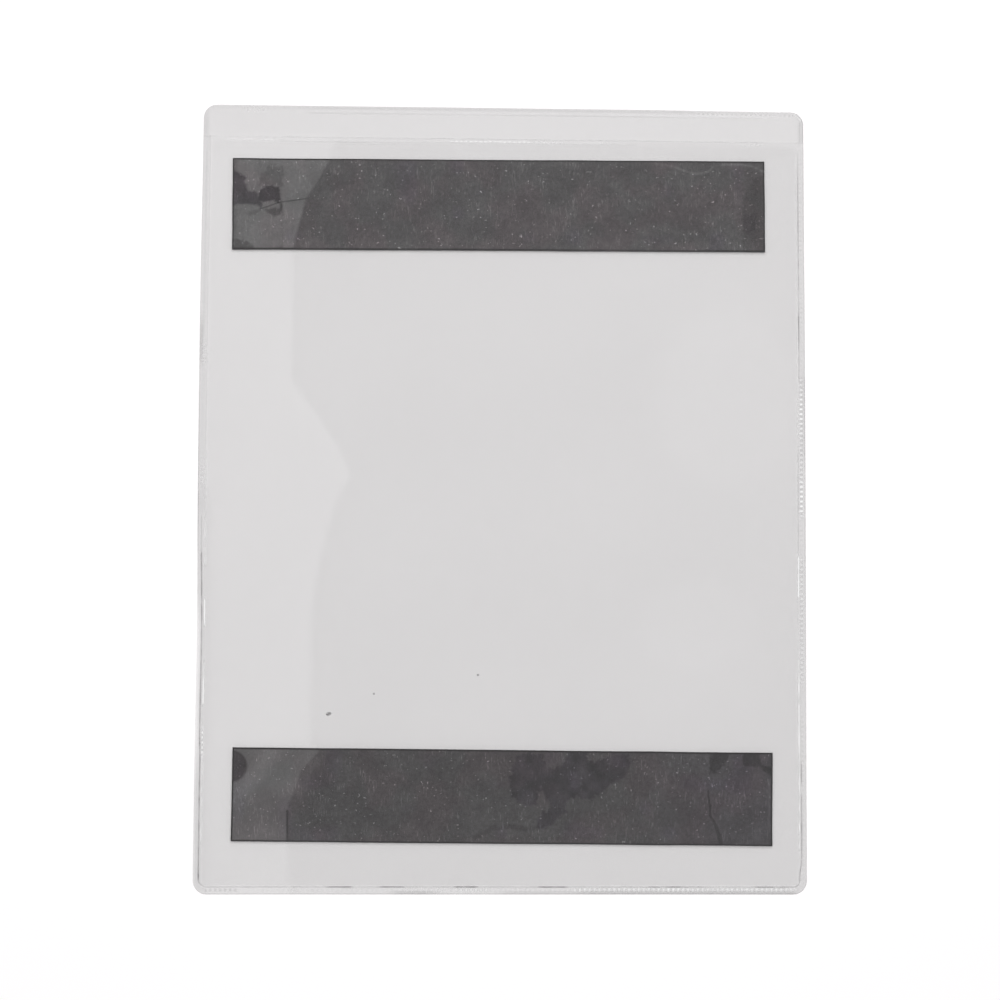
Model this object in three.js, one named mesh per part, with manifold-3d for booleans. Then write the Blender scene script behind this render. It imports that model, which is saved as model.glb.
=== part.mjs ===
// Job ticket holder: two sheets of clear film, welded together along three sides into a flat
// pocket with its mouth at the top, and two flexible magnet strips stuck to its back.
//
// Millimetres. X runs across the holder, Y up towards the mouth, Z out of its front.
// The holder lies on its magnet strips. The origin is on that surface, below its middle.

import * as THREE from 'three';
import { mergeVertices } from 'three/addons/utils/BufferGeometryUtils.js';
import Module from 'manifold-3d';

// The paper that the pocket is made for, and the room round it
const PAPER_WIDTH = 215.9;
const PAPER_HEIGHT = 279.4;
const SIDE_ROOM = 3.85; // from the paper to the weld, each side
const HEAD_ROOM = 3.2; // from the paper's top to the mouth

// The two sheets
const FILM = 0.25; // thickness of each sheet
const POCKET_GAP = 0.5; // between the sheets, for a few papers
const LIP_HEIGHT = 12.2; // what the back sheet stands above the mouth
const CORNER_RADIUS = 5.2; // of the outline

// The weld, pressed by a heated bar that leaves a low land between two beads
const WELD_WIDTH = 3.2;
const WELD_LAND = 0.3; // height of the land above the back sheet
const OUTER_BEAD_WIDTH = 0.7;
const INNER_BEAD_WIDTH = 0.8;
const BEAD_HEIGHT = 0.1; // of a bead above what it stands on
const BEAD_CHAMFER = 0.15; // across, on each side of a bead's crest

// The band pressed into the front sheet along its mouth
const MOUTH_BAND_WIDTH = 2.8;

// The magnet strips, stuck on by hand and so a little askew
const STRIP_LENGTH = 203.2;
const STRIP_WIDTH = 34.9;
const STRIP_THICKNESS = 1.5;
const UPPER_STRIP_DROP = 37.5; // from the sheet's top edge to the strip's middle
const UPPER_STRIP_SHIFT = -1.7; // of its middle, across
const UPPER_STRIP_TURN = 0.26; // degrees
const LOWER_STRIP_RISE = 36.2; // from the sheet's bottom edge to the strip's middle
const LOWER_STRIP_SHIFT = 0.6;
const LOWER_STRIP_TURN = -0.46;

const ARC_STEPS = 6; // in each half of a corner

// Places that follow from the sizes above
const sheetWidth = PAPER_WIDTH + 2 * (SIDE_ROOM + WELD_WIDTH);
const sheetHeight = WELD_WIDTH + PAPER_HEIGHT + HEAD_ROOM + LIP_HEIGHT;
const right = sheetWidth / 2;
const left = -right;
const top = sheetHeight / 2;
const bottom = -top;
const mouth = top - LIP_HEIGHT;
const backUnderside = STRIP_THICKNESS;
const backFace = backUnderside + FILM;
const frontUnderside = backFace + POCKET_GAP;
const frontFace = frontUnderside + FILM;

const film = { color: 0xdedcdd, roughness: 0.12, metalness: 0, transparent: true, opacity: 0.3 };
const weld = { color: 0xe6e4e5, roughness: 0.3, metalness: 0, transparent: true, opacity: 0.45 };
const magnet = { color: 0x4c484a, roughness: 0.55, metalness: 0 };

const wasm = await Module();
wasm.setup();

const group = new THREE.Group();

function addPart(name, geometry, finish) {
  const mesh = new THREE.Mesh(geometry, new THREE.MeshStandardMaterial(finish));
  mesh.name = name;
  group.add(mesh);
  return mesh;
}

// A point of the outline with the direction into the sheet. The outline runs anticlockwise.
function station(x, y, inwardX, inwardY) {
  return { x, y, inwardX, inwardY };
}

// The stations of half a corner, from one angle to another in degrees
function cornerHalf(cornerX, cornerY, from, to) {
  const centreX = cornerX - Math.sign(cornerX) * CORNER_RADIUS;
  const centreY = cornerY - Math.sign(cornerY) * CORNER_RADIUS;
  const stations = [];
  for (let step = 0; step <= ARC_STEPS; step++) {
    const angle = THREE.MathUtils.degToRad(from + ((to - from) * step) / ARC_STEPS);
    const x = Math.cos(angle);
    const y = Math.sin(angle);
    stations.push(station(centreX + CORNER_RADIUS * x, centreY + CORNER_RADIUS * y, -x, -y));
  }
  return stations;
}

// The outline in four runs, which the three welds and the lip follow
const leftRun = [station(left, mouth, 1, 0), ...cornerHalf(left, bottom, 180, 225)];
const bottomRun = [
  ...cornerHalf(left, bottom, 225, 270),
  ...cornerHalf(right, bottom, 270, 315),
];
const rightRun = [...cornerHalf(right, bottom, 315, 360), station(right, mouth, -1, 0)];
const lipRun = [
  station(right, mouth, -1, 0),
  ...cornerHalf(right, top, 0, 45),
  ...cornerHalf(right, top, 45, 90).slice(1),
  ...cornerHalf(left, top, 90, 135),
  ...cornerHalf(left, top, 135, 180).slice(1),
  station(left, mouth, 1, 0),
];
const mouthRun = [
  station(right - WELD_WIDTH, mouth, 0, -1),
  station(left + WELD_WIDTH, mouth, 0, -1),
];

// The points of the runs, moved into the sheet by an inset, as a closed shape
function outline(runs, inset) {
  const points = [];
  for (const { x, y, inwardX, inwardY } of runs.flat()) {
    const point = new THREE.Vector2(x + inset * inwardX, y + inset * inwardY);
    if (!points.length || point.distanceTo(points.at(-1)) > 1e-6) {
      points.push(point);
    }
  }
  if (points[0].distanceTo(points.at(-1)) < 1e-6) {
    points.pop();
  }
  return new THREE.Shape(points);
}

function plate(shape, underside) {
  const geometry = new THREE.ExtrudeGeometry(shape, { depth: FILM, bevelEnabled: false });
  return geometry.translate(0, 0, underside);
}

// A section, drawn as inset by height, swept along a run and set at a level
function sweep(section, run, level) {
  const spans = run.length - 1;
  const options = { depth: spans, steps: spans, bevelEnabled: false };
  const geometry = new THREE.ExtrudeGeometry(section, options);
  const position = geometry.getAttribute('position');
  for (let i = 0; i < position.count; i++) {
    const { x, y, inwardX, inwardY } = run[Math.round(position.getZ(i))];
    const inset = position.getX(i);
    position.setXYZ(i, x + inset * inwardX, y + inset * inwardY, level + position.getY(i));
  }
  return geometry;
}

function toSolid(geometry) {
  const bare = geometry.clone();
  bare.deleteAttribute('normal');
  bare.deleteAttribute('uv');
  const merged = mergeVertices(bare);
  const mesh = new wasm.Mesh({
    numProp: 3,
    vertProperties: new Float32Array(merged.getAttribute('position').array),
    triVerts: new Uint32Array(merged.index.array),
  });
  return new wasm.Manifold(mesh);
}

function toGeometry(solid) {
  const { vertProperties, triVerts } = solid.getMesh();
  const geometry = new THREE.BufferGeometry();
  geometry.setAttribute('position', new THREE.BufferAttribute(vertProperties, 3));
  geometry.setIndex(new THREE.BufferAttribute(triVerts, 1));
  geometry.computeVertexNormals();
  return geometry;
}

function joined(first, ...others) {
  return toGeometry(others.reduce((solid, other) => solid.add(toSolid(other)), toSolid(first)));
}

function shapeOf(...corners) {
  return new THREE.Shape(corners.map(([x, y]) => new THREE.Vector2(x, y)));
}

// The section of the weld: outer bead, land, and an inner bead that holds the front sheet's edge
function weldSection() {
  const crest = WELD_LAND + BEAD_HEIGHT;
  const frontLevel = POCKET_GAP + FILM;
  const innerCrest = frontLevel + BEAD_HEIGHT;
  const innerBead = WELD_WIDTH - INNER_BEAD_WIDTH;
  return shapeOf(
    [0, 0],
    [WELD_WIDTH, 0],
    [WELD_WIDTH, frontLevel],
    [WELD_WIDTH - BEAD_CHAMFER, innerCrest],
    [innerBead + BEAD_CHAMFER, innerCrest],
    [innerBead, WELD_LAND],
    [OUTER_BEAD_WIDTH, WELD_LAND],
    [OUTER_BEAD_WIDTH - BEAD_CHAMFER, crest],
    [BEAD_CHAMFER, crest],
    [0, WELD_LAND],
  );
}

// The section of one bead pressed up out of a sheet, rooted halfway down the film
function pressedBead(start, width) {
  const root = -FILM / 2;
  return shapeOf(
    [start, root],
    [start + width, root],
    [start + width, 0],
    [start + width - BEAD_CHAMFER, BEAD_HEIGHT],
    [start + BEAD_CHAMFER, BEAD_HEIGHT],
    [start, 0],
  );
}

// The two beads of a band, one along its outer edge and one along its inner edge
function pressedBand(run, bandWidth, face) {
  return [
    sweep(pressedBead(0, OUTER_BEAD_WIDTH), run, face),
    sweep(pressedBead(bandWidth - INNER_BEAD_WIDTH, INNER_BEAD_WIDTH), run, face),
  ];
}

function addBackSheet() {
  const sheet = plate(outline([leftRun, bottomRun, rightRun, lipRun], 0), backUnderside);
  addPart('back_sheet', joined(sheet, ...pressedBand(lipRun, WELD_WIDTH, backFace)), film);
}

function addFrontSheet() {
  const sheet = plate(outline([leftRun, bottomRun, rightRun], WELD_WIDTH), frontUnderside);
  const band = pressedBand(mouthRun, MOUTH_BAND_WIDTH, frontFace);
  addPart('front_sheet', joined(sheet, ...band), film);
}

function addWelds() {
  addPart('left_weld', sweep(weldSection(), leftRun, backFace), weld);
  addPart('bottom_weld', sweep(weldSection(), bottomRun, backFace), weld);
  addPart('right_weld', sweep(weldSection(), rightRun, backFace), weld);
}

function addStrip(name, x, y, turn) {
  const shape = new THREE.BoxGeometry(STRIP_LENGTH, STRIP_WIDTH, STRIP_THICKNESS);
  const strip = addPart(name, shape, magnet);
  strip.position.set(x, y, STRIP_THICKNESS / 2);
  strip.rotation.z = THREE.MathUtils.degToRad(turn);
}

addBackSheet();
addFrontSheet();
addWelds();
addStrip('upper_magnet_strip', UPPER_STRIP_SHIFT, top - UPPER_STRIP_DROP, UPPER_STRIP_TURN);
addStrip('lower_magnet_strip', LOWER_STRIP_SHIFT, bottom + LOWER_STRIP_RISE, LOWER_STRIP_TURN);

export default group;
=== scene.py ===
import math

import bpy
import numpy as np
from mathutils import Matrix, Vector


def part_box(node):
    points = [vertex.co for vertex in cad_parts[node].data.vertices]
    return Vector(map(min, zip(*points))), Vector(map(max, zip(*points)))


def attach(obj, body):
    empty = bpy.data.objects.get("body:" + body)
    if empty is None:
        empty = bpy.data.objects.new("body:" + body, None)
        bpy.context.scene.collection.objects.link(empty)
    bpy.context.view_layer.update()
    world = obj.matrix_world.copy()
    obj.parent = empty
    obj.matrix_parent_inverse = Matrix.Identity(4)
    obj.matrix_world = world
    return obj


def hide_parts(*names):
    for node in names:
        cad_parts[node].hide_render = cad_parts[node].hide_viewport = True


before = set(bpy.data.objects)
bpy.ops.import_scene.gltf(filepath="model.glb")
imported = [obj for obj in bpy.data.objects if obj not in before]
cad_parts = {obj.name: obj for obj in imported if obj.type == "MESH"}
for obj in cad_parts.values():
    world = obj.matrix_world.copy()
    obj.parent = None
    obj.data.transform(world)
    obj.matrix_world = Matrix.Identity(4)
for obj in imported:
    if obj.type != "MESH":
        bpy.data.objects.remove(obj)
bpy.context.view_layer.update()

# The holder's lengths are in millimetres, and are turned into metres where its meshes are made.
# The floor, the lamp and the camera's clip distances are given in metres.
MM = 0.001


def node_box(node):
    lowest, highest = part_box(node)
    return np.array(lowest) / MM, np.array(highest) / MM


# Places taken from the CAD
back_low, back_high = node_box("back_sheet")
front_low, front_high = node_box("front_sheet")
upper_low, upper_high = node_box("upper_magnet_strip")
lower_low, lower_high = node_box("lower_magnet_strip")

RIGHT = back_high[0]
TOP = back_high[1]
MOUTH = front_high[1]
UNDERSIDE = back_low[2]
FRONT_UNDERSIDE = front_low[2]
SEAM_WIDTH = RIGHT - front_high[0]

# Sizes that the boxes don't give
FILM = 0.25
CORNER_RADIUS = 5.2
MOUTH_BAND = 2.8
STRIP_LENGTH = 203.2
STRIP_WIDTH = 34.9
UPPER_TURN = 0.26
LOWER_TURN = -0.46
JOINT_GAP = 0.02  # between pieces, so that no two faces lie in one plane
WAVE_HEIGHT = 0.14
EASE = 0.12  # how far a strip's edges are rounded down
WANDER = 0.12  # how far they stray from straight

# The knurl that the heated bar leaves
KNURL_PITCH = 1.85
KNURL_START = 0.9
KNURL_END = 2.3
STEPS_A_PITCH = 6
STATION_STEP = KNURL_PITCH / STEPS_A_PITCH

# How finely the rest is built
FINE_STEP = 0.05  # along a run, before it is sampled at even steps
CORNER_POINTS = 160
ROW_STEP = 2.2
SHEET_COLUMNS = 103
STRIP_STEP = 0.33
SHARP_ANGLE = 38

# The film's gloss, its grey veil, and its painted shade and highlights
MIRROR_SHARE = 0.015  # of the light, seen straight on
FILM_ROUGHNESS = 0.05
THICKEST_VEIL = 0.95
# The grey of the veil, which is also the tone of the painted shade lines, and the tone of the
# painted highlights
VEIL_AND_PAINTED_SHADE_TONE = (0.12, 0.115, 0.118, 1)
PAINTED_HIGHLIGHT_TONE = (0.95, 0.95, 0.95, 1)


# Smooth functions

def smoothstep(low, high, value):
    t = np.clip((value - low) / (high - low), 0, 1)
    return t * t * (3 - 2 * t)


def ridge(value, centre, width):
    return np.exp(-(((value - centre) / width) ** 2))


def drift(value, period, seed):
    """A smooth random course from 0 to 1, with a new level every period."""
    knots = np.random.default_rng(seed).random(4096)
    place = np.asarray(value) / period + 1024
    index = np.floor(place).astype(int)
    blend = smoothstep(0, 1, place - index)
    return knots[index] * (1 - blend) + knots[index + 1] * blend


def ground(x, y, size, seed):
    """Smooth random ground from -1 to 1, with patches about size across."""
    knots = np.random.default_rng(seed).uniform(-1, 1, (512, 512))
    across, along = x / size + 200, y / size + 200
    column, row = np.floor(across).astype(int), np.floor(along).astype(int)
    right, up = smoothstep(0, 1, across - column), smoothstep(0, 1, along - row)
    first = knots[row, column] * (1 - right) + knots[row, column + 1] * right
    second = knots[row + 1, column] * (1 - right) + knots[row + 1, column + 1] * right
    return first * (1 - up) + second * up


def from_line(x, y, points):
    """The distance from a line through points."""
    nearest = np.full_like(x, 1e9)
    for (start_x, start_y), (end_x, end_y) in zip(points, points[1:]):
        run_x, run_y = end_x - start_x, end_y - start_y
        reach = ((x - start_x) * run_x + (y - start_y) * run_y) / (run_x ** 2 + run_y ** 2)
        reach = np.clip(reach, 0, 1)
        gap = np.hypot(x - start_x - reach * run_x, y - start_y - reach * run_y)
        nearest = np.minimum(nearest, gap)
    return nearest


def from_patch(x, y, points):
    """The distance from the edge of a patch, below 0 inside it."""
    closed = points + points[:1]
    inside = np.zeros(x.shape, bool)
    for (start_x, start_y), (end_x, end_y) in zip(closed, closed[1:]):
        if start_y != end_y:
            side = start_x + (y - start_y) * (end_x - start_x) / (end_y - start_y)
            inside ^= ((start_y > y) != (end_y > y)) & (x < side)
    return np.where(inside, -1, 1) * from_line(x, y, closed)


# The film's shape: its edges bow a little, and it isn't quite flat

def bow(x, y):
    """How far a point of the film is moved in its own plane."""
    left_bow = 0.4 * ridge(y, -50, 36) + 0.46 * smoothstep(70, 140, y)
    right_bow = -0.24 * smoothstep(60, 140, y) + 0.08 * ridge(y, 10, 30)
    top_bow = -0.08 - 0.34 * smoothstep(45, 105, x)
    reach = 22.0
    move_x = left_bow * np.exp(-(x + RIGHT) / reach) + right_bow * np.exp(-(RIGHT - x) / reach)
    move_y = top_bow * np.exp(-(TOP - y) / reach)
    return move_x, move_y


def beside_strips(x, y):
    """0 over the strips, and 1 where the film is clear of them."""
    clear = np.ones_like(x)
    for low, high in ((upper_low, upper_high), (lower_low, lower_high)):
        across = np.maximum(low[0] - x, x - high[0])
        along = np.maximum(low[1] - y, y - high[1])
        clear = np.minimum(clear, smoothstep(1.5, 16, np.maximum(across, along)))
    return clear


def waves(x, y, seed):
    """Low waves between -1 and 1."""
    random = np.random.default_rng(seed)
    total = np.zeros_like(x)
    for _ in range(7):
        length = random.uniform(55, 130)
        angle = random.uniform(0, math.pi)
        phase = random.uniform(0, 2 * math.pi)
        total += np.sin((x * math.cos(angle) + y * math.sin(angle)) * 2 * math.pi / length + phase)
    return total / 4


def cloud(points):
    """Patches where the sheets cling, between -1 and 1: clearer at the right."""
    x, y = points[:, 0], points[:, 1]
    upper = smoothstep(1.0, 0.6, np.hypot((x - 86) / 36, (y - 38) / 42))
    lower = smoothstep(1.0, 0.6, np.hypot((x - 74) / 27, (y + 48) / 22))
    return -np.clip(upper + 0.7 * lower, 0, 1)


# Where the painted reflection of glare at the holder's left ends, as y and x
GLARE_EDGE = [
    (-149, -79), (-129.2, -79.9), (-118.3, -80.2), (-115.1, -79.6), (-112.5, -78.3), (-110, -77.4),
    (-107.4, -76.5), (-102.9, -74.9), (-95.8, -68.5), (-93, -72), (-44, -72), (-24, -69), (-2, -63),
    (8, -57.5), (18, -62), (30, -70), (44, -80.5), (92, -80.3), (94.5, -80.1), (106, -77.2),
    (113.3, -75.4), (120.3, -70.9), (128, -66.8), (149, -60),
]


def glare_zone(x, y, soft):
    """1 in the zone at the holder's left where a reflection of glare is painted, 0 beside it."""
    edge = np.interp(y, *np.array(GLARE_EDGE).T)
    return 1 - smoothstep(edge - soft, edge + soft, x)


def haze_and_glare_of(bodies):
    """How much more or less grey the film is than the usual, over all points of a piece, less where
    glare is painted.
    """
    points = np.concatenate([body_points for body_points, _ in bodies])
    x, y = points[:, 0], points[:, 1]
    on_lip = smoothstep(MOUTH - 1, MOUTH + 1, y)
    beside_left = smoothstep(-RIGHT + 7, -RIGHT + 3, x) * smoothstep(10, -10, y)
    # The film is painted clearer in the glare zone at the left: a painted reflection.
    return (1 + 0.02 * waves(x, y, 71) + 0.05 * cloud(points) + 0.05 * on_lip
            - 0.13 * glare_zone(x, y, 1.5) * (1 - on_lip) + 0.15 * beside_left)


def settle(points, seed):
    """Bows points of the film and lifts them in low waves."""
    x, y = points[..., 0].copy(), points[..., 1].copy()
    move_x, move_y = bow(x, y)
    points[..., 0] += move_x
    points[..., 1] += move_y
    points[..., 2] += WAVE_HEIGHT * waves(x, y, seed) * beside_strips(x, y)
    return points


# Meshes

def quads(index):
    """The faces of a grid of point numbers."""
    corners = index[:-1, :-1], index[1:, :-1], index[1:, 1:], index[:-1, 1:]
    return np.stack([corner.ravel() for corner in corners], axis=1)


def rim(index):
    """The point numbers round a grid's edge, as a closed loop."""
    return np.concatenate([index[:, 0], index[-1, 1:], index[-2::-1, -1], index[0, -2::-1]])


def shell(top, bottom):
    """A closed body between two grids of points. The bottom may have fewer columns than the top."""
    top_index = np.arange(top[..., 0].size).reshape(top.shape[:2])
    bottom_index = np.arange(bottom[..., 0].size).reshape(bottom.shape[:2]) + top_index.size
    points = np.concatenate([top.reshape(-1, 3), bottom.reshape(-1, 3)])
    faces = quads(top_index).tolist() + quads(bottom_index)[:, ::-1].tolist()
    if top.shape == bottom.shape:
        upper, lower = rim(top_index), rim(bottom_index)
        walls = np.stack([upper[1:], upper[:-1], lower[:-1], lower[1:]], axis=1)
        return points, faces + walls.tolist()
    for column, flip in ((0, 1), (-1, -1)):
        upper, lower = top_index[:, column], bottom_index[:, column]
        wall = np.stack([upper[1:], upper[:-1], lower[:-1], lower[1:]], axis=1)
        faces += wall[:, ::flip].tolist()
    first = [*top_index[0, ::-1].tolist(), *bottom_index[0].tolist()]
    last = [*top_index[-1].tolist(), *bottom_index[-1, ::-1].tolist()]
    return points, faces + [first, last]


def make_piece(name, bodies, material, replaced, marks):
    """One object from closed bodies, which stands for the CAD nodes that it replaces."""
    points, faces, count = [], [], 0
    for body_points, body_faces in bodies:
        points.append(body_points)
        faces += [[number + count for number in face] for face in body_faces]
        count += len(body_points)
    mesh = bpy.data.meshes.new(name)
    mesh.from_pydata((np.concatenate(points) * MM).tolist(), [], faces)
    mesh.shade_smooth()
    mesh.set_sharp_from_angle(angle=math.radians(SHARP_ANGLE))
    for mark, values in marks.items():
        padded = np.zeros(count)
        padded[:values.size] = values.ravel()
        attribute = mesh.attributes.new(mark, "FLOAT", "POINT")
        attribute.data.foreach_set("value", padded)
    mesh.materials.append(material)
    mesh.validate()
    piece = bpy.data.objects.new(name, mesh)
    bpy.context.scene.collection.objects.link(piece)
    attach(piece, "root")
    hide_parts(*replaced)


# The outline, as stations a short step apart with the direction into the sheet

def leg(start, end, inward):
    """A straight part of the outline."""
    start, end = np.array(start, float), np.array(end, float)
    count = max(2, int(np.linalg.norm(end - start) / FINE_STEP))
    t = np.linspace(0, 1, count)[:, None]
    return np.hstack([start + t * (end - start), np.tile(inward, (count, 1))])


def corner(side_x, side_y, start, end):
    """A round corner of the outline, from one angle to another in degrees."""
    angle = np.radians(np.linspace(start, end, CORNER_POINTS))
    direction = np.stack([np.cos(angle), np.sin(angle)], axis=1)
    centre = np.array([side_x * (RIGHT - CORNER_RADIUS), side_y * (TOP - CORNER_RADIUS)])
    return np.hstack([centre + CORNER_RADIUS * direction, -direction])


def stations(*parts):
    """The parts of a run, sampled at even steps, with the distance along it."""
    dense = np.concatenate(parts)
    steps = np.linalg.norm(np.diff(dense[:, :2], axis=0), axis=1)
    keep = np.concatenate([[True], steps > 1e-7])
    dense = dense[keep]
    travelled = np.concatenate([[0], np.cumsum(steps[keep[1:]])])
    along = np.linspace(0, travelled[-1], int(round(travelled[-1] / STATION_STEP)) + 1)
    place = np.stack([np.interp(along, travelled, column) for column in dense.T], axis=1)
    return along, place


turn = CORNER_RADIUS
seam_along, seam_place = stations(
    leg((-RIGHT, MOUTH), (-RIGHT, turn - TOP), (1, 0)),
    corner(-1, -1, 180, 270),
    leg((turn - RIGHT, -TOP), (RIGHT - turn, -TOP), (0, 1)),
    corner(1, -1, 270, 360),
    leg((RIGHT, turn - TOP), (RIGHT, MOUTH), (-1, 0)),
)
lip_along, lip_place = stations(
    leg((RIGHT, MOUTH + JOINT_GAP), (RIGHT, TOP - turn), (-1, 0)),
    corner(1, 1, 0, 90),
    leg((RIGHT - turn, TOP), (turn - RIGHT, TOP), (0, -1)),
    corner(-1, 1, 90, 180),
    leg((-RIGHT, TOP - turn), (-RIGHT, MOUTH + JOINT_GAP), (1, 0)),
)
edge = front_high[0] - JOINT_GAP
mouth_along, mouth_place = stations(leg((edge, MOUTH), (-edge, MOUTH), (0, -1)))


def swept(place, insets, heights, level, seed):
    """A band along a run: a top of many columns over a flat underside."""
    x = place[:, 0:1] + insets * place[:, 2:3]
    y = place[:, 1:2] + insets * place[:, 3:4]
    top = np.stack([x, y, level + heights], axis=2)
    bottom = np.stack([x[:, [0, -1]], y[:, [0, -1]], np.full((len(place), 2), level)], axis=2)
    return shell(settle(top, seed), settle(bottom, seed))


def between(insets, start, end):
    """1 between two insets, 0 beside them."""
    return smoothstep(start, start + 0.25, insets) * (1 - smoothstep(end - 0.25, end, insets))


def knurl(along, insets, start, end):
    """The pads of the knurl, 0 to 1, between two insets."""
    phase = np.mod(along[:, None] / KNURL_PITCH, 1)
    pad = smoothstep(0.02, 0.16, phase) * (1 - smoothstep(0.5, 0.64, phase))
    return pad * between(insets, start, end)


def spans(place, levels, soft=1.5):
    """The levels of stretches, given as start, end and level, that fade out at their ends."""
    total = np.zeros_like(place)
    for start, end, level in levels:
        rise = smoothstep(start - soft, start + soft, place)
        total += level * rise * (1 - smoothstep(end - soft, end + soft, place))
    return total


# The welded seam, below the mouth

seam_insets = np.array([[0, 0.1, 0.22, 0.4, 0.56, 0.72, 0.92, 1.12, 1.34, 1.62, 1.9, 2.12, 2.32,
                         2.48, 2.62, 2.8, 2.98, 3.1, SEAM_WIDTH - JOINT_GAP]])
seam_x, seam_y = seam_place[:, 0:1], seam_place[:, 1:2]
seam_s = seam_along[:, None]
on_left = smoothstep(-RIGHT + 6, -RIGHT, seam_x)
on_right = smoothstep(RIGHT - 6, RIGHT, seam_x)
on_bottom = smoothstep(-TOP + 6, -TOP, seam_y)
on_all = on_left + on_right + on_bottom


def along_seam(left, bottom, right, soft=1.5):
    """Levels along the seam's three legs: by y at the left and right, by x at the bottom."""
    total = (on_left * spans(seam_y, left, soft) + on_bottom * spans(seam_x, bottom, soft)
             + on_right * spans(seam_y, right, soft))
    return total / on_all


seam_strength = along_seam(
    [(4, 11, 0.6), (50, 58, 0.5), (-150, 150, 0.05)],
    [(-112.5, -98, 0.8), (-80, -76, 0.5), (-36, -22, 0.4), (-17, -5, 0.6), (27, 111, 0.8),
     (-120, 120, 0.05)],
    [(-7, 46, 0.9), (-70, -23, 0.6), (-150, 150, 0.08)],
)
seam_pads = knurl(seam_along, seam_insets, KNURL_START, KNURL_END)
seam_knurl = seam_pads * seam_strength
seam_profile = np.interp(
    seam_insets[0],
    [0, 0.12, 0.25, 0.5, 0.75, 2.3, 2.5, 2.65, 3.0, SEAM_WIDTH],
    [0.38, 0.58, 0.65, 0.65, 0.55, 0.55, 0.95, 1.1, 1.1, 0.98],
)[None, :]
seam_heights = seam_profile + 0.1 * seam_knurl

line_at_left = 1.35 - 0.25 * smoothstep(-20, -50, seam_y) - 0.3 * smoothstep(-88, -100, seam_y)
line_at_right = (0.5 * smoothstep(25, 42, seam_y) + 0.5 * smoothstep(-22, -40, seam_y)
                 + 0.4 * smoothstep(-60, -100, seam_y)) * smoothstep(-143, -135, seam_y)
inner_line = 2.87 - (on_left * line_at_left + on_right * line_at_right) * (1 - on_bottom)
line_amount = along_seam(
    [(-26, -8, 0.16), (-143, -22, 0.43), (-150, -141, 0.24), (60, 133, 0.05)],
    [(-120, 120, 0.23), (-65, -55.5, 0.36), (-45, -36.6, 0.36), (-17, -9, 0.62), (14.4, 24.2, 0.4),
     (54, 75, 0.22), (95.7, 109, 0.24)],
    [(-150, 133, 0.05), (44, 125, 0.19), (84, 133, 0.12), (56, 70, 0.24), (-20, 20, 0.12),
     (-108, -100, 0.25), (-134, -112, 0.36), (-150, -134, 0.28)],
)
broken = 0.65 + 0.6 * drift(seam_s, 3.1, 7)
edge_amount = along_seam(
    [(-22, 40, 0.17), (-14, 0, 0.1)],
    [(-120, 120, 0.24)],
    [(-150, -60, 0.07), (-60, -40, 0.14), (-40, 46, 0.24), (46, 150, 0.15)],
)
pad_gaps = (1 - smoothstep(0, 0.5, seam_pads)) * between(seam_insets, KNURL_START, KNURL_END)
# Painted shade: the dark lines at the seam's outer edge, along its inner bead and in the knurl's
# gaps, standing for what the beads' flanks show by refraction.
seam_painted_shade = (
    edge_amount * ridge(seam_insets, 0.1, 0.24)
    + line_amount * broken * ridge(seam_insets, inner_line, 0.24)
    + along_seam([(-150, 150, 0.05)], [(-112.5, -98, 0.2), (-98, 120, 0.07)], [(-150, 150, 0.14)])
    * seam_strength * pad_gaps
    + along_seam([(50, 66, 0.13)], [(-40, -25, 0.17), (0, 30, 0.1), (30, 112, 0.19)],
                 [(15, 50, 0.06)], 4) * (1 - smoothstep(1.0, 1.6, seam_insets))
)
bright_amount = along_seam(
    [(-1, 14, 0.6), (-26, -9, 1.0), (-49, -38.6, 1.4), (-78.5, -63, 1.2), (-112, -86, 0.5),
     (-130, -113, 0.8)],
    [(-60, 30, 0.12), (30, 112, 0.6)],
    [(56, 60, 0.7), (24, 38, 0.4), (46, 84, 0.2), (-38, -21.6, 1.4), (-112, -61, 1.2),
     (-132, -112, 0.9)],
)
dotted = along_seam([(-98, -87.7, 0.8)], [], [])
beads = smoothstep(0.3, 0.6, np.abs(np.mod(seam_s / KNURL_PITCH, 1) - 0.5) * 2)
# Painted highlights: the bright line along the inner bead and glints on the knurl's pads.
seam_painted_highlight = (
    (bright_amount * (0.5 + 0.7 * drift(seam_s, 3.7, 9)) + dotted * beads)
    * ridge(seam_insets, 2.87 - 0.6 * on_bottom, 0.24)
    + along_seam([(-150, 150, 0.4)], [(-90, 120, 0.9), (-120, -90, 0.1)], [(-150, 150, 0.9)])
    * seam_knurl * (0.6 + 0.6 * drift(seam_s, 7, 23))
)
seam_tone = 1 + along_seam([(-150, -6, 0.34), (-6, 150, 0.7)], [(-120, 120, 0.04)],
                           [(-150, 150, 0.3)], 4)
seam_tone = seam_tone - along_seam([(-100, -45, 0.8)], [], [], 12) * (
    1 - smoothstep(inner_line - 0.5, inner_line - 0.2, seam_insets))
seam_tone = seam_tone - along_seam([(-150, -40, 0.5)], [], [], 6) * (
    1 - smoothstep(0.5, 0.8, seam_insets))

# The lip's band and the mouth's band

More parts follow.
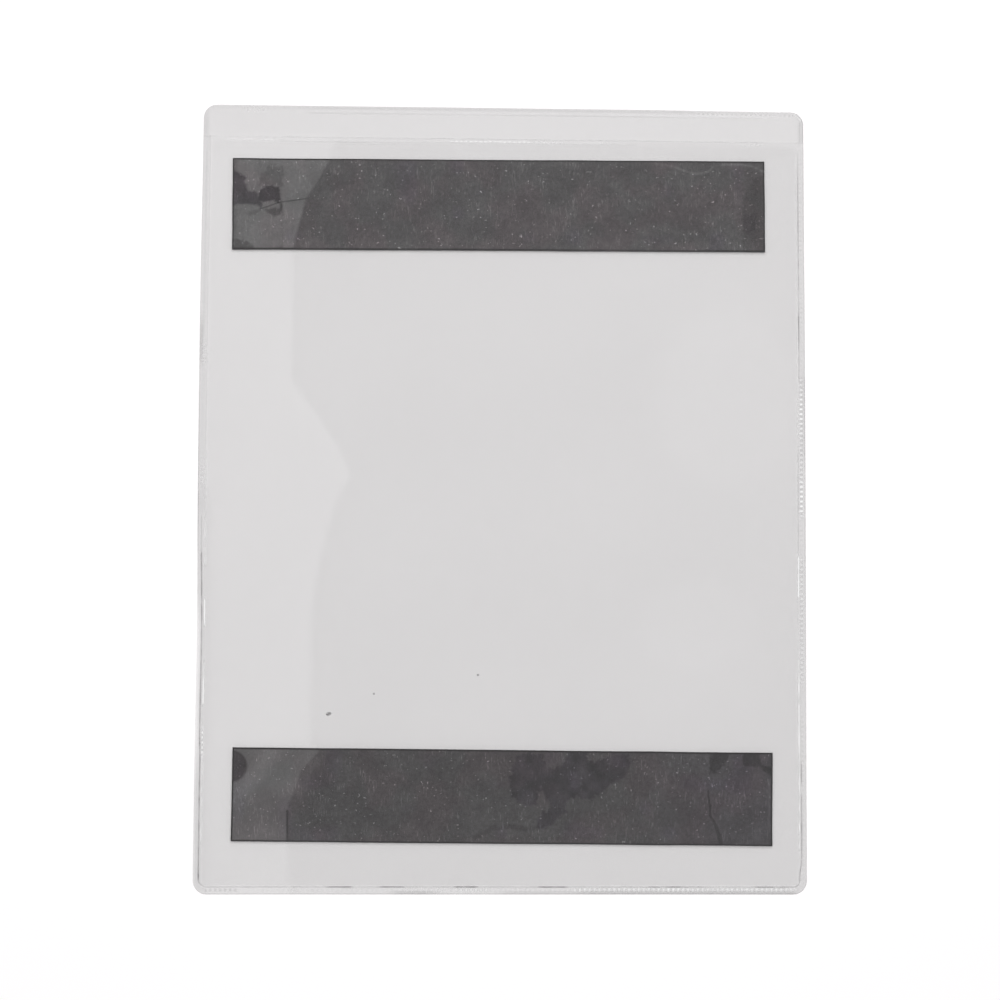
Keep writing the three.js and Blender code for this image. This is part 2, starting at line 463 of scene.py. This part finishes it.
lip_insets = seam_insets
lip_s = lip_along[:, None]
lip_x, lip_y = lip_place[:, 0:1], lip_place[:, 1:2]
on_top = smoothstep(TOP - 6, TOP, lip_y)
lip_strength = on_top * spans(lip_x, [(-99, -91, 0.5), (74, 104, 0.35), (106, 113, 0.7)])
lip_knurl = knurl(lip_along, lip_insets, KNURL_START, KNURL_END) * lip_strength
lip_profile = np.interp(
    lip_insets[0],
    [0, 0.12, 0.25, 0.5, 0.75, 2.4, 2.55, 3.0, SEAM_WIDTH],
    [0.15, 0.32, 0.35, 0.35, 0.23, 0.23, 0.35, 0.35, 0.25],
)[None, :]
lip_heights = lip_profile + 0.06 * lip_knurl
# Painted shade: dark lines along the lip's band and its knurl.
lip_painted_shade = (
    (0.1 - 0.06 * smoothstep(65, 88, abs(lip_x))) * ridge(lip_insets, 0.85, 0.6)
    + 0.05 * (1 - smoothstep(1.8, 2.9, lip_insets)) * (1 - on_top)
    + on_top * spans(lip_x, [(-75, 98, 0.075)]) * (0.4 + drift(lip_s, 17, 35))
    * ridge(lip_insets, 2.8, 0.3)
    + 0.05 * lip_knurl
    + spans(lip_s, [(0, 13, 0.22)]) * ridge(lip_insets, 0.25, 0.2)
    + spans(lip_s, [(0, 8.5, 0.12)]) * ridge(lip_insets, 1.5, 0.25)
)
# Painted highlights: bright lines along the lip's band and glints on its knurl.
lip_painted_highlight = (
    on_top * spans(lip_x, [(-60, 20, 0.16), (40, 104, 0.3)], 6) * ridge(lip_insets, 2.0, 0.3)
    + 0.6 * lip_knurl * drift(lip_s, 6, 39)
    + spans(lip_s, [(8.5, 13.5, 0.85)], 0.8) * ridge(lip_insets, 0.85, 0.22)
)

mouth_insets = np.array([[0, 0.12, 0.3, 0.5, 0.7, 0.95, 1.2, 1.45, 1.65, 1.85, 2.05, 2.3, 2.5,
                          2.65, MOUTH_BAND - JOINT_GAP]])
mouth_s = mouth_along[:, None]
mouth_x = mouth_place[:, 0:1]
mouth_strength = spans(mouth_x, [(-21, 10, 1.0), (10, 23, 0.5), (92, 99, 0.4), (36, 39, 0.5)])
mouth_knurl = knurl(mouth_along, mouth_insets, 0.8, 1.5) * mouth_strength
mouth_profile = np.interp(
    mouth_insets[0],
    [0, 0.12, 0.25, 0.5, 0.75, 2.0, 2.15, 2.6, MOUTH_BAND],
    [0.2, 0.33, 0.35, 0.35, 0.25, 0.25, 0.35, 0.35, 0.25],
)[None, :]
mouth_heights = mouth_profile + 0.06 * mouth_knurl
# Painted shade: dark lines at the mouth's cut edge and along its band.
mouth_painted_shade = (
    spans(mouth_x, [(-112, 112, 0.02), (-85, 98, 0.1)]) * ridge(mouth_insets, 0.12, 0.24)
    + spans(mouth_x, [(-86, -52, 0.08), (-70, 50, 0.05)]) * (0.3 + drift(mouth_s, 31, 43))
    * ridge(mouth_insets, 1.9, 0.22)
)
# Painted highlights: glints on the mouth's knurl and a bright line along its band.
mouth_painted_highlight = (
    0.8 * mouth_knurl
    + spans(mouth_x, [(-106, -96, 0.3), (-92, -88, 0.4), (-82, -22, 0.16), (-21, 10, 0.1),
                      (24, 36, 0.2)])
    * ridge(mouth_insets, 1.15, 0.22)
)


# The film inside the bands

def sheet_rows(low, high, round_top):
    """Rows across a sheet, closer together in its round corners, with how far each is drawn in."""
    radius = CORNER_RADIUS - SEAM_WIDTH
    angle = np.radians([0, 18, 36, 54, 72, 90])
    rise = radius * (1 - np.cos(angle))
    draw = radius * (1 - np.sin(angle))
    last = high - radius if round_top else high
    straight = np.linspace(low + radius, last, int((last - low - radius) / ROW_STEP))[1:]
    rows, drawn = [low + rise, straight], [draw, np.zeros(len(straight))]
    if round_top:
        rows.append(high - rise[-2::-1])
        drawn.append(draw[-2::-1])
    return np.concatenate(rows), np.concatenate(drawn)


def sheet(low, high, round_top, underside, seed):
    """The flat part of a sheet of film."""
    rows, drawn = sheet_rows(low, high, round_top)
    half = RIGHT - SEAM_WIDTH
    across = np.linspace(-1, 1, SHEET_COLUMNS)
    x = (half - drawn)[:, None] * across[None, :]
    y = np.repeat(rows[:, None], len(across), axis=1)
    bottom = settle(np.stack([x, y, np.full_like(x, underside)], axis=2), seed)
    top = bottom.copy()
    top[..., 2] += FILM
    return shell(top[:, ::-1], bottom[:, ::-1])


# Node graphs for the materials

class Graph:
    """A material's node tree, with short calls for the nodes used here."""

    def __init__(self, name):
        self.material = bpy.data.materials.new(name)
        self.material.use_nodes = True
        self.tree = self.material.node_tree
        self.tree.nodes.clear()
        place = self.node("TexCoord").outputs["Object"]
        self.place = self.vector("MULTIPLY", place, (1 / MM, 1 / MM, 1 / MM))
        self.flat = self.vector("MULTIPLY", place, (1 / MM, 1 / MM, 0))

    def node(self, kind, values=(), **settings):
        made = self.tree.nodes.new("ShaderNode" + kind)
        for setting, value in settings.items():
            setattr(made, setting, value)
        for number, value in enumerate(values):
            self.put(made.inputs[number], value)
        return made

    def put(self, socket, value):
        if isinstance(value, bpy.types.NodeSocket):
            self.tree.links.new(value, socket)
        elif value is not None:
            socket.default_value = value

    def vector(self, operation, *values):
        return self.node("VectorMath", values, operation=operation).outputs[0]

    def math(self, operation, *values):
        return self.node("Math", values, operation=operation).outputs[0]

    def add(self, *values):
        total = values[0]
        for value in values[1:]:
            total = self.math("ADD", total, value)
        return total

    def times(self, *values):
        total = values[0]
        for value in values[1:]:
            total = self.math("MULTIPLY", total, value)
        return total

    def noise(self, size, detail=2.0, place=None):
        """Noise whose features are about size millimetres across."""
        made = self.node("TexNoise")
        self.put(made.inputs["Vector"], place or self.place)
        self.put(made.inputs["Scale"], 1 / size)
        self.put(made.inputs["Detail"], detail)
        return made.outputs[0]

    def ramp(self, value, low, high, start=0.0, end=1.0):
        """start at or below low, end at or above high, and smooth between."""
        made = self.node("MapRange", interpolation_type="SMOOTHSTEP")
        for number, item in enumerate((value, low, high, start, end)):
            self.put(made.inputs[number], item)
        return made.outputs[0]

    def attribute(self, name):
        return self.node("Attribute", attribute_name=name).outputs["Fac"]

    def disc(self, x, y, radius):
        """Distance outside a circle."""
        gap = self.node("VectorMath", [self.flat, (x, y, 0)], operation="DISTANCE").outputs["Value"]
        return self.math("SUBTRACT", gap, radius)

    def union(self, *gaps):
        total = gaps[0]
        for gap in gaps[1:]:
            total = self.math("MINIMUM", total, gap)
        return total

    def mix_colour(self, factor, first, second):
        made = self.node("Mix", data_type="RGBA")
        self.put(made.inputs["Factor"], factor)
        self.put(made.inputs[6], first)
        self.put(made.inputs[7], second)
        return made.outputs[2]

    def mix_shader(self, factor, first, second):
        made = self.node("MixShader", [factor])
        self.put(made.inputs[1], first)
        self.put(made.inputs[2], second)
        return made.outputs[0]

    def principled(self, colour, roughness, normal=None, specular=0.5):
        made = self.node("BsdfPrincipled")
        self.put(made.inputs["Base Color"], colour)
        self.put(made.inputs["Roughness"], roughness)
        self.put(made.inputs["Specular IOR Level"], specular)
        self.put(made.inputs["Normal"], normal)
        return made.outputs[0]

    def bump(self, height, distance):
        made = self.node("Bump")
        self.put(made.inputs["Distance"], distance * MM)
        self.put(made.inputs["Height"], height)
        return made.outputs["Normal"]

    def finish(self, shader):
        output = self.node("OutputMaterial")
        self.put(output.inputs["Surface"], shader)
        return self.material


# Dust on the front film, as centres and radii
FILM_SPECKS = [
    ((-65.3, -82.0), 0.6), ((-64.6, -81.8), 0.5), ((-48.1, -74.4), 0.3), ((-9.1, -67.2), 0.3),
]


def make_film(name, veil=None, specks=()):
    """Clear vinyl: painted shade and highlights, specks and a grey veil, under a gloss that grows
    at a glancing angle.
    """
    graph = Graph(name)
    # The attributes dark and light hold painted shade lines and painted highlights.
    dark = graph.attribute("dark")
    light = graph.attribute("light")
    if specks:
        gap = graph.union(*[graph.disc(*centre, radius) for centre, radius in specks])
        dark = graph.add(dark, graph.ramp(gap, -0.3, 0.3, 0.5, 0.0))
    factor = graph.add(dark, light)
    if veil:
        # The veil is thinned where a reflection of glare is painted at the left.
        factor = graph.add(factor, graph.times(graph.attribute("haze_and_glare"), veil))
    factor = graph.math("MINIMUM", factor, THICKEST_VEIL)
    brightness = graph.math("DIVIDE", light, graph.add(factor, 0.001))
    tone = graph.mix_colour(brightness, VEIL_AND_PAINTED_SHADE_TONE, PAINTED_HIGHLIGHT_TONE)
    veil_shader = graph.principled(tone, 0.5, specular=0.0)
    body = graph.mix_shader(factor, graph.node("BsdfTransparent").outputs[0], veil_shader)

    facing = graph.node("LayerWeight", [0.5]).outputs["Facing"]
    glance = graph.math("POWER", facing, 5.0)
    mirror = graph.add(graph.times(glance, 0.9), MIRROR_SHARE)
    gloss = graph.node("BsdfGlossy")
    graph.put(gloss.inputs["Color"], (1, 1, 1, 1))
    graph.put(gloss.inputs["Roughness"], FILM_ROUGHNESS)
    seen = graph.mix_shader(mirror, body, gloss.outputs[0])
    path = graph.node("LightPath").outputs
    lamp_ray = graph.node("Math", [path["Is Shadow Ray"], path["Is Diffuse Ray"]],
                          operation="ADD", use_clamp=True).outputs[0]
    let_through = graph.node("BsdfTransparent").outputs[0]
    return graph.finish(graph.mix_shader(lamp_ray, seen, let_through))


def make_rubber(name):
    """Ferrite-filled rubber, dark grey, with fine streaks across, pale specks and a painted
    reflection of glare.
    """
    graph = Graph(name)
    streaked = graph.vector("MULTIPLY", graph.place, (2.4, 0.36, 1))
    patches = graph.ramp(graph.noise(9, 3.0), 0.35, 0.65)
    streaks = graph.ramp(graph.noise(1.0, 2.0, streaked), 0.57, 0.76)
    streaks = graph.times(streaks, graph.ramp(patches, 0, 1, 0.35, 1.3))
    grain = graph.ramp(graph.noise(1.1, 3.0), 0.3, 0.7)
    specked = graph.vector("ADD", graph.place, (9, 30, 5))
    specks = graph.ramp(graph.noise(1.0, 1.0, specked), 0.71, 0.78)
    tone = graph.add(graph.times(patches, 0.014), graph.times(grain, 0.026),
                     graph.times(streaks, 0.09), graph.times(specks, 0.3), 0.056)
    tone = graph.times(tone, graph.add(1.0, graph.attribute("change")))
    reddened = graph.vector("ADD", graph.place, (40, 7, 3))
    blush = graph.ramp(graph.noise(15, 2.0, reddened), 0.4, 0.6)
    tint = graph.attribute("tint")
    red = graph.add(1.0, graph.times(blush, 0.09), graph.times(tint, 0.02))
    green = graph.add(0.98, graph.times(blush, -0.03), graph.times(tint, -0.07))
    blue = graph.add(0.99, graph.times(tint, 0.13))
    colour = graph.node("CombineColor", [graph.times(tone, part) for part in (red, green, blue)])
    # Adds the painted reflection of glare that the strip carries in its pale attribute.
    colour = graph.vector("ADD", colour.outputs[0], graph.attribute("pale"))
    height = graph.add(grain, graph.times(streaks, 0.6))
    shader = graph.principled(colour, graph.ramp(patches, 0, 1, 0.5, 0.68),
                              graph.bump(height, 0.05), specular=0.35)
    return graph.finish(shader)


back_material = make_film("film_of_the_back", 0.184)
front_material = make_film("film_of_the_front", specks=FILM_SPECKS)
seam_material = make_film("welded_film", 0.18)
rubber_material = make_rubber("magnet_rubber")


# The film pieces

WAVE_SEED = 2  # one for all, because the sheets rise and fall together
lip_band = swept(lip_place, lip_insets, lip_heights, UNDERSIDE, WAVE_SEED)
inner_top = TOP - SEAM_WIDTH - JOINT_GAP
back_sheet = sheet(-inner_top, inner_top, True, UNDERSIDE, WAVE_SEED)
make_piece("back_film", [lip_band, back_sheet], back_material, ["back_sheet"],
           {"dark": lip_painted_shade, "light": lip_painted_highlight, "haze_and_glare": haze_and_glare_of([lip_band, back_sheet])})

mouth_band = swept(mouth_place, mouth_insets, mouth_heights, FRONT_UNDERSIDE, WAVE_SEED)
front_sheet = sheet(-inner_top, MOUTH - MOUTH_BAND, False, FRONT_UNDERSIDE, WAVE_SEED)
make_piece("front_film", [mouth_band, front_sheet], front_material, ["front_sheet"],
           {"dark": mouth_painted_shade, "light": mouth_painted_highlight})

seam = swept(seam_place, seam_insets, seam_heights, UNDERSIDE, WAVE_SEED)
# The seam's veil is thinned by the painted reflection of glare at the left as well.
seam_haze_and_glare = haze_and_glare_of([seam])
seam_haze_and_glare[:seam_tone.size] *= seam_tone.ravel()
make_piece("welded_seam", [seam], seam_material,
           ["left_weld", "bottom_weld", "right_weld"],
           {"dark": seam_painted_shade, "light": seam_painted_highlight, "haze_and_glare": seam_haze_and_glare})


# Marks on the strips' faces, where the film wets them or they are worn; painted reflection at the
# left

ISLAND = [
    (-93.2, 115.7), (-92.3, 117.5), (-89.5, 118), (-85.5, 117.8), (-85.1, 112.2), (-87.8, 112.2),
    (-90.3, 111.8), (-91.7, 111.1), (-93.3, 113.2),
]
LEFT_PATCH = [
    (-104, 123.5), (-101.2, 123.5), (-100.2, 122), (-98.4, 121.5), (-98.2, 119.5), (-97.8, 116.7),
    (-96.3, 115.7), (-93.4, 115.5), (-93.2, 113.5), (-91.7, 111), (-92.3, 109.3), (-94.3, 110.8),
    (-100.2, 110.9), (-104, 110.3),
]
LOBE = [
    (-91.5, 108.6), (-90.7, 109.6), (-87.7, 109.5), (-85.6, 109.7), (-85.5, 111.4), (-84.5, 111.3),
    (-84.2, 106.9), (-87.4, 106.3), (-89.6, 107.3),
]
STREAK = [
    (-98.1, 107.2), (-95.6, 108.4), (-92.7, 109.5), (-91.7, 108.6), (-94.9, 106.8), (-97.9, 106),
]
BLUE_PATCH = [
    (-93.9, 118.2), (-92.7, 122.6), (-89.7, 125.2), (-84.6, 125.1), (-84.2, 121.7), (-84.5, 117.7),
    (-89.3, 118.3), (-92.1, 117.7),
]
CORNER_PATCH = [(-105, 97.9), (-99.4, 97.1), (-95.6, 95.3), (-95, 92.5), (-105, 92.5)]
NOTCH = [(-85.9, 92.6), (-85.6, 94.9), (-84.4, 95.4), (-83.2, 94.4), (-83.1, 92.6)]
SCRATCH = [(-91.7, 109.4), (-88.4, 110.6), (-85.5, 111.7), (-80.5, 112.4), (-75.3, 113.2)]
CREASE = [(-84.9, 117.7), (-84.6, 106), (-84, 94)]
HUMP = [
    (37.2, 123.2), (40.1, 126.1), (44.3, 127.4), (52.1, 127.5), (58.5, 126.7), (52.1, 124.5),
    (43.6, 123.6),
]
ARC = [(57.8, 128.2), (63.5, 127.4), (69.2, 125.4), (73.4, 124.3), (77.7, 125), (79.8, 126.9)]
END_ARC = [(83.4, 127.9), (89.1, 128.2), (94, 127.9), (97.6, 126.4), (100.4, 124.9)]
END_PATCH = [
    (103, 125.7), (97.6, 123.5), (94, 120.3), (91.2, 114.9), (91.2, 110.6), (91.6, 99.9),
    (91, 92.5), (103, 92.5),
]
END_CORE = [(91.7, 109.2), (96.5, 108.9), (96.1, 102.1), (91.7, 102)]
BLOB = [
    (4.7, -97.6), (8, -96.2), (15.2, -96.2), (15.9, -99.2), (17.3, -101.9), (20.2, -102.3),
    (23.1, -100.8), (23.8, -98.2), (26, -95.8), (31.7, -95.6), (33.2, -99.2), (36, -99.4),
    (39.7, -97.2), (47.2, -96.5), (48.7, -99.7), (47.2, -103.6), (44, -106.9), (40.7, -107.6),
    (39.3, -109.4), (36.8, -110.8), (33.9, -113), (30.3, -113.1), (30, -112.6), (26, -112.8),
    (24.6, -115.5), (24.2, -118.3), (22.4, -119), (21.3, -120.5), (19.6, -123), (17, -124.4),
    (13.8, -124.7), (13.1, -121.9), (14.9, -119), (18.8, -116.9), (18.1, -114.8), (16.3, -113.3),
    (15.2, -110.8), (13.8, -111.2), (13.2, -113.3), (13.4, -115.5), (8.7, -115.8), (6.2, -114.8),
    (4.8, -112.6), (3.3, -109.1), (2.6, -106.6), (4.4, -103.4),
]
BLOB_ISLAND = [
    (26, -106.5), (27.8, -104.4), (29.9, -105.5), (30.5, -108.3), (29.2, -109.7), (26, -109),
]
TRAIL = [
    (-10, -128), (-5.2, -125.5), (-3.1, -124), (-0.5, -124.8), (3, -123.5), (5.9, -124.3),
    (10.2, -124.8), (13.4, -124.2),
]
QUARTER = [
    (78.2, -94), (86.4, -94), (84.9, -100), (82.7, -102.1), (80.9, -103.6), (78.4, -104.1),
]
END_BAND = [
    (90.4, -94), (97.3, -94), (97.8, -100), (99.8, -101), (104, -104), (104, -106.5),
    (100.1, -103.5), (97.6, -101.6), (94.7, -101.1), (92.2, -101.3), (90.9, -99.6),
]
CRACK = [
    (77.9, -110.4), (78, -113.2), (78.6, -116.5), (78.6, -119.7), (79.8, -121.5), (80.9, -124),
    (82, -127.2), (82.7, -131),
]
PALE_STRIPE = [(100.8, -107.1), (100.8, -125.4)]
GLARE_STREAK = [(-86.8, -96.9), (-95.6, -109.6)]
DARK_LINE = [(-80.2, -118), (-80, -131)]


def patch(x, y, points, soft=0.5, rough=0.5):
    """1 inside a patch whose edge is a little ragged, 0 outside."""
    ragged = rough * (ground(x, y, 1.3, 91) + 0.6 * ground(x, y, 0.7, 92))
    return 1 - smoothstep(-soft, soft, from_patch(x, y, points) + ragged)


def line(x, y, points, half_width, soft=0.3):
    """1 on a line and 0 beside it."""
    return 1 - smoothstep(half_width - soft, half_width + soft, from_line(x, y, points))


def upper_marks(x, y):
    """The change of tone, the painted reflection of glare and the blue shift on the upper strip's
    face.
    """
    island = patch(x, y, ISLAND)
    left_patch = patch(x, y, LEFT_PATCH) * (1 - island)
    blue_patch = patch(x, y, BLUE_PATCH) * (1 - island)
    corner_patch = patch(x, y, CORNER_PATCH)
    lobe = patch(x, y, LOBE)
    streak = patch(x, y, STREAK)
    end = 1 - smoothstep(0.6, 2.4, x + 103.2)
    scratch = line(x, y, SCRATCH, 0.16)
    wet = (island + left_patch + 0.75 * blue_patch + corner_patch + 0.75 * lobe + 0.6 * streak
           + patch(x, y, NOTCH) + 0.5 * end + scratch + 0.3 * line(x, y, CREASE, 0.2))
    # pale is a painted reflection of glare over the zone at the left, left out where the film wets
    # the strip.
    pale = 0.075 * glare_zone(x, y, 0.7) * (1 - np.minimum(wet, 1)) * (1 + 0.2 * ground(x, y, 9, 90))
    change = (
        -0.6 * island - 0.3 * left_patch - 0.36 * lobe - 0.3 * corner_patch - 0.8 * scratch
        - 0.12 * patch(x, y, HUMP, 1.0)
        + 0.6 * line(x, y, ARC, 0.4) + 0.7 * line(x, y, END_ARC, 0.35)
        - 0.32 * patch(x, y, END_PATCH) - 0.2 * patch(x, y, END_CORE)
        + 0.16 * ridge(y, 95.5, 2.2) + 0.1 * ridge(y, 127.5, 1.4)
        + 0.25 * ridge(np.hypot((x + 21) / 2.4, (y - 97) / 1.2), 0, 2.6)
        + 0.14 * ground(x, y, 6.0, 93) + 0.1 * ground(x, y, 2.6, 94)
    )
    tint = (0.7 * island + 0.6 * left_patch
            + 0.3 * patch(x, y, END_CORE) + 0.5 * smoothstep(0.35, 0.8, ground(x, y, 9.0, 95)))
    return change, pale, tint


def lower_marks(x, y):
    """The change of tone, the painted reflection of glare and the blue shift on the lower strip's
    face.
    """
    blob = patch(x, y, BLOB, 0.55, 0.7)
    within = ground(x, y, 3.4, 96)
    half_disc = 1 - smoothstep(5.4, 6.4, np.hypot(x + 101.2, y + 101.4))
    crack_width = 0.35 + 0.6 * smoothstep(-118, -130, y)
    dark_line = line(x, y, DARK_LINE, 0.35)
    wet = half_disc + dark_line
    # The zone and streak of a painted reflection of glare, added as pale tone below.
    zone = 0.75 * glare_zone(x, y, 0.7) + 0.25 * glare_zone(x - 4.5, y, 1.2)
    zone = zone * (1 - 0.25 * ridge(y, -119, 6)) + 0.5 * line(x, y, GLARE_STREAK, 2.6, 2.6)
    pale = 0.074 * zone * (1 - np.minimum(wet, 1))
    change = (
        -0.2 + (-0.42 - 0.16 * within) * blob * (1 - 0.6 * patch(x, y, BLOB_ISLAND))
        - 0.3 * line(x, y, TRAIL, 0.9, 0.5) - 0.6 * patch(x, y, QUARTER, 0.3)
        - 0.5 * patch(x, y, END_BAND, 0.3) - 0.2 * half_disc - 0.5 * dark_line
        - 0.5 * (1 - smoothstep(0.6, 1.2, from_line(x, y, CRACK) / crack_width))
        + 0.3 * line(x, y, PALE_STRIPE, 0.5)
        + 0.12 * ridge(y, -127, 3) + 0.12 * ground(x, y, 6.0, 97) + 0.09 * ground(x, y, 2.6, 98)
    )
    tint = (0.75 * blob + 0.4 * smoothstep(40, 90, x)
            + 0.5 * smoothstep(0.3, 0.8, ground(x, y, 9.0, 99)))
    return change, pale, tint


# The magnet strips, cut by hand, with eased edges

def graded(length):
    """Places along a strip, closer together at its ends."""
    ends = np.array([0, 0.06, 0.18])
    inner = np.linspace(0.4, length - 0.4, int(length / STRIP_STEP))
    return np.concatenate([ends, inner, length - ends[::-1]]) - length / 2


def make_strip(name, node, low, high, degrees, face_marks, seed):
    """A thin plate with eased, slightly uneven edges, painted shade along them, and the marks of
    one strip on its face.
    """
    x, y = np.meshgrid(graded(STRIP_LENGTH), graded(STRIP_WIDTH), indexing="ij")
    from_edge = np.minimum(STRIP_LENGTH / 2 - abs(x), STRIP_WIDTH / 2 - abs(y))
    ease = EASE * (1 - smoothstep(0, 0.2, from_edge))
    wander_y = WANDER * (drift(x, 14, seed) - 0.5) * y / (STRIP_WIDTH / 2)
    wander_x = WANDER * (drift(y, 9, seed + 1) - 0.5) * x / (STRIP_LENGTH / 2)
    x, y = x + wander_x, y + wander_y
    angle = math.radians(degrees)
    centre = (low + high) / 2
    turned_x = centre[0] + x * math.cos(angle) - y * math.sin(angle)
    turned_y = centre[1] + x * math.sin(angle) + y * math.cos(angle)
    top = np.stack([turned_x, turned_y, high[2] - JOINT_GAP - ease], axis=2)
    bottom = top[:, [0, -1]].copy()
    bottom[..., 2] = low[2]
    change, pale, tint = face_marks(turned_x, turned_y)
    # Painted shade: a dark rim along the strip's edges for its side wall and the shadow gap beside
    # it; it also takes the painted glare away there.
    painted_edge_shade = (0.82 + 0.3 * drift(x, 22, seed + 2)) * (1 - smoothstep(0.42, 0.76, from_edge))
    change = np.maximum(change - painted_edge_shade, -0.96)
    pale = pale * (1 - painted_edge_shade)
    make_piece(name, [shell(top, bottom)], rubber_material, [node],
               {"change": change, "pale": pale, "tint": tint})


make_strip("upper_magnet", "upper_magnet_strip", upper_low, upper_high, UPPER_TURN, upper_marks, 51)
make_strip("lower_magnet", "lower_magnet_strip", lower_low, lower_high, LOWER_TURN, lower_marks, 53)


# The floor

FLOOR_HALF = 6.0
FLOOR_LIT = (0.9, 0.882, 0.887, 1)
FLOOR_GLOW = 0.16


def make_floor():
    """Plain pale paper, a little lighter to the camera and to gloss than the light makes it."""
    graph = Graph("floor_paper")
    lit = graph.node("BsdfDiffuse", [FLOOR_LIT]).outputs[0]
    path = graph.node("LightPath")
    seen = graph.node("Math", [path.outputs["Is Camera Ray"], path.outputs["Is Glossy Ray"]],
                      operation="ADD", use_clamp=True).outputs[0]
    seen = graph.node("Math", [seen, path.outputs["Is Transmission Ray"]], operation="ADD",
                      use_clamp=True).outputs[0]
    glow = graph.node("Emission", [(1, 1, 1, 1), graph.times(seen, FLOOR_GLOW)]).outputs[0]
    material = graph.finish(graph.node("AddShader", [lit, glow]).outputs[0])
    material.cycles.emission_sampling = "NONE"
    mesh = bpy.data.meshes.new("floor")
    corners = [(x * FLOOR_HALF, y * FLOOR_HALF, 0) for x, y in ((-1, -1), (1, -1), (1, 1), (-1, 1))]
    mesh.from_pydata(corners, [], [(0, 1, 2, 3)])
    mesh.materials.append(material)
    floor = bpy.data.objects.new("floor", mesh)
    bpy.context.scene.collection.objects.link(floor)


make_floor()


# Camera and light

CAMERA_PLACE = Vector((-23.93, -42.88, 756.71)) * MM
CAMERA_TURN = (3.151, -1.747, 0.254)
SENSOR_WIDTH = 36
LENS = 72
FILL_LIGHT = 0.3

# The sky that gloss sees
SKY_OVERHEAD = 0.14
SKY_FALL = 0.75  # how much lighter it is at the horizon
SKY_SLANT = 0.2  # how much lighter past the lip, and darker past the bottom
SKY_DARKEST = 0.05


def make_lamp(name, place, target, size, power):
    """A square lamp that doesn't show in gloss."""
    data = bpy.data.lights.new(name, "AREA")
    data.size = size
    data.energy = power
    lamp = bpy.data.objects.new(name, data)
    lamp.location = place
    lamp.rotation_euler = (Vector(target) - Vector(place)).to_track_quat("-Z", "Y").to_euler()
    lamp.visible_glossy = False
    bpy.context.scene.collection.objects.link(lamp)


def make_world(fill):
    """White to the camera, plain fill light, and for gloss a white horizon under a darker sky."""
    world = bpy.data.worlds.new("studio")
    world.use_nodes = True
    tree = world.node_tree
    tree.nodes.clear()

    def math_node(operation, *values, clamp=False):
        made = tree.nodes.new("ShaderNodeMath")
        made.operation = operation
        made.use_clamp = clamp
        for number, value in enumerate(values):
            if isinstance(value, bpy.types.NodeSocket):
                tree.links.new(value, made.inputs[number])
            else:
                made.inputs[number].default_value = value
        return made.outputs[0]

    path = tree.nodes.new("ShaderNodeLightPath")
    place = tree.nodes.new("ShaderNodeTexCoord")
    split = tree.nodes.new("ShaderNodeSeparateXYZ")
    tree.links.new(place.outputs["Generated"], split.inputs[0])
    low = math_node("SUBTRACT", 1.0, split.outputs["Z"], clamp=True)
    sky = math_node("ADD", math_node("MULTIPLY", low, SKY_FALL), SKY_OVERHEAD)
    sky = math_node("ADD", sky, math_node("MULTIPLY", split.outputs["Y"], SKY_SLANT))
    sky = math_node("MINIMUM", math_node("MAXIMUM", sky, SKY_DARKEST), 1.0)
    glossy = math_node("MULTIPLY", path.outputs["Is Glossy Ray"], math_node("SUBTRACT", sky, fill))
    seen = math_node("ADD", path.outputs["Is Camera Ray"], path.outputs["Is Transmission Ray"],
                     clamp=True)
    seen = math_node("MULTIPLY", seen, 1.0 - fill)
    strength = math_node("ADD", math_node("ADD", glossy, seen), fill)
    background = tree.nodes.new("ShaderNodeBackground")
    tree.links.new(strength, background.inputs["Strength"])
    background.inputs["Color"].default_value = (1, 1, 1, 1)
    output = tree.nodes.new("ShaderNodeOutputWorld")
    tree.links.new(background.outputs[0], output.inputs["Surface"])
    bpy.context.scene.world = world


make_world(FILL_LIGHT)
make_lamp("key", (0.0, 0.5, 1.7), target=(0, 0, 0), size=1.6, power=29.0)

camera_data = bpy.data.cameras.new("camera")
camera_data.sensor_width = SENSOR_WIDTH
camera_data.lens = LENS
camera_data.clip_start = 0.01
camera_data.clip_end = 30
camera = bpy.data.objects.new("camera", camera_data)
camera.location = CAMERA_PLACE
camera.rotation_euler = [math.radians(angle) for angle in CAMERA_TURN]
bpy.context.scene.collection.objects.link(camera)
bpy.context.scene.camera = camera
bpy.context.scene.view_settings.view_transform = "Standard"
